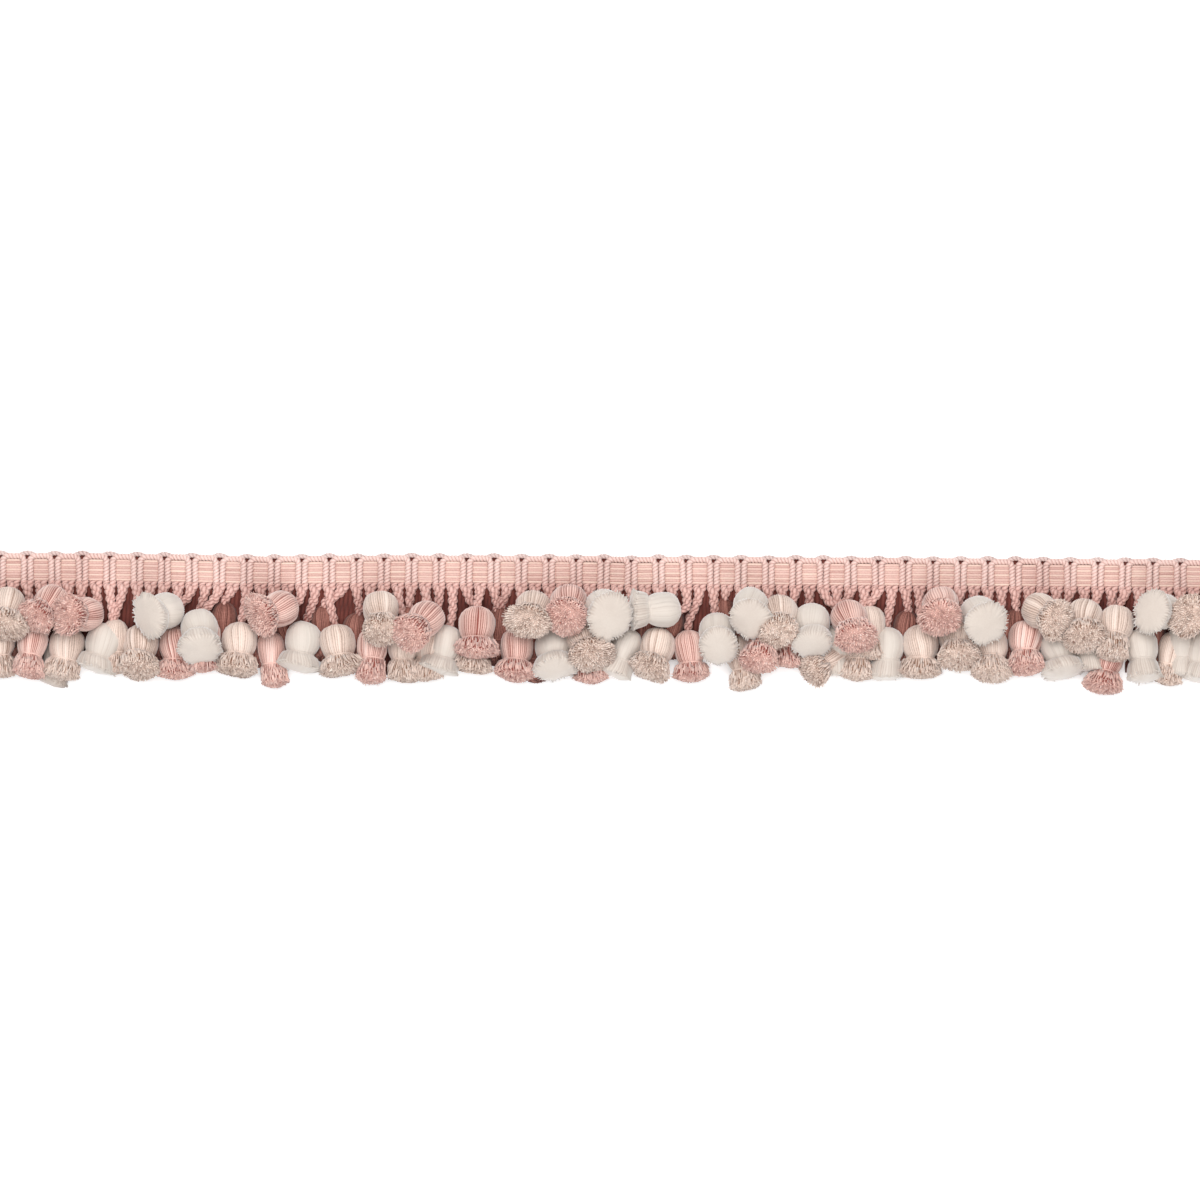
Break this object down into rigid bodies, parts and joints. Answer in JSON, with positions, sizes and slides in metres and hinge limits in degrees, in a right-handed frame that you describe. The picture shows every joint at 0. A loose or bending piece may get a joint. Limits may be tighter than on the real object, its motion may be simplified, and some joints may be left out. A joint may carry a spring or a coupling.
{
  "type": "tassel fringe trim",
  "caption": "Cut length of furnishing fringe: a woven gimp heading with twisted hanging loops and layered short round tassels, lying face up.",
  "frame": {"origin": "middle of the heading's flat back, which lies on the surface", "axes": "+X along the heading, +Y from the tassels to the scalloped edge, +Z out of the face"},
  "size_m": [0.506, 0.0541, 0.028],
  "materials": {
    "warp": "satin, fine parallel warp threads",
    "gimp": "satin, two-ply twisted cord",
    "loop": "satin, two-ply twisted cord",
    "rose": "matt twisted yarn",
    "cream": "soft, smooth yarn",
    "oatmeal": "matt twisted yarn"
  },
  "bodies": {
    "root": {"heading_band": "warp", "heading_cord": "gimp", "loops": "loop", "tassel_02": "oatmeal", "tassel_03": "oatmeal", "tassel_05": "rose", "tassel_06": "rose", "tassel_07": "oatmeal", "tassel_09": "rose", "tassel_10": "cream", "tassel_12": "oatmeal", "tassel_15": "rose", "tassel_16": "cream", "tassel_17": "cream", "tassel_20": "oatmeal", "tassel_22": "rose", "tassel_24": "rose", "tassel_25": "cream", "tassel_26": "oatmeal", "tassel_29": "rose", "tassel_30": "oatmeal", "tassel_31": "oatmeal", "tassel_34": "rose", "tassel_35": "cream", "tassel_37": "rose", "tassel_40": "rose", "tassel_41": "oatmeal", "tassel_42": "cream", "tassel_44": "rose", "tassel_45": "oatmeal", "tassel_46": "cream", "tassel_48": "cream", "tassel_50": "oatmeal", "tassel_52": "cream", "tassel_53": "rose", "tassel_54": "cream", "tassel_56": "oatmeal", "tassel_57": "cream", "tassel_58": "rose", "tassel_59": "oatmeal", "tassel_61": "cream", "tassel_64": "rose", "tassel_65": "oatmeal", "tassel_67": "cream", "tassel_69": "oatmeal", "tassel_70": "rose", "tassel_72": "oatmeal", "tassel_73": "cream", "tassel_74": "oatmeal", "tassel_77": "rose", "tassel_78": "oatmeal", "tassel_79": "cream", "tassel_81": "oatmeal", "tassel_83": "rose", "tassel_84": "oatmeal", "tassel_85": "cream", "tassel_87": "cream", "tassel_88": "oatmeal", "tassel_90": "cream", "tassel_91": "oatmeal"}
  },
  "joints": []
}
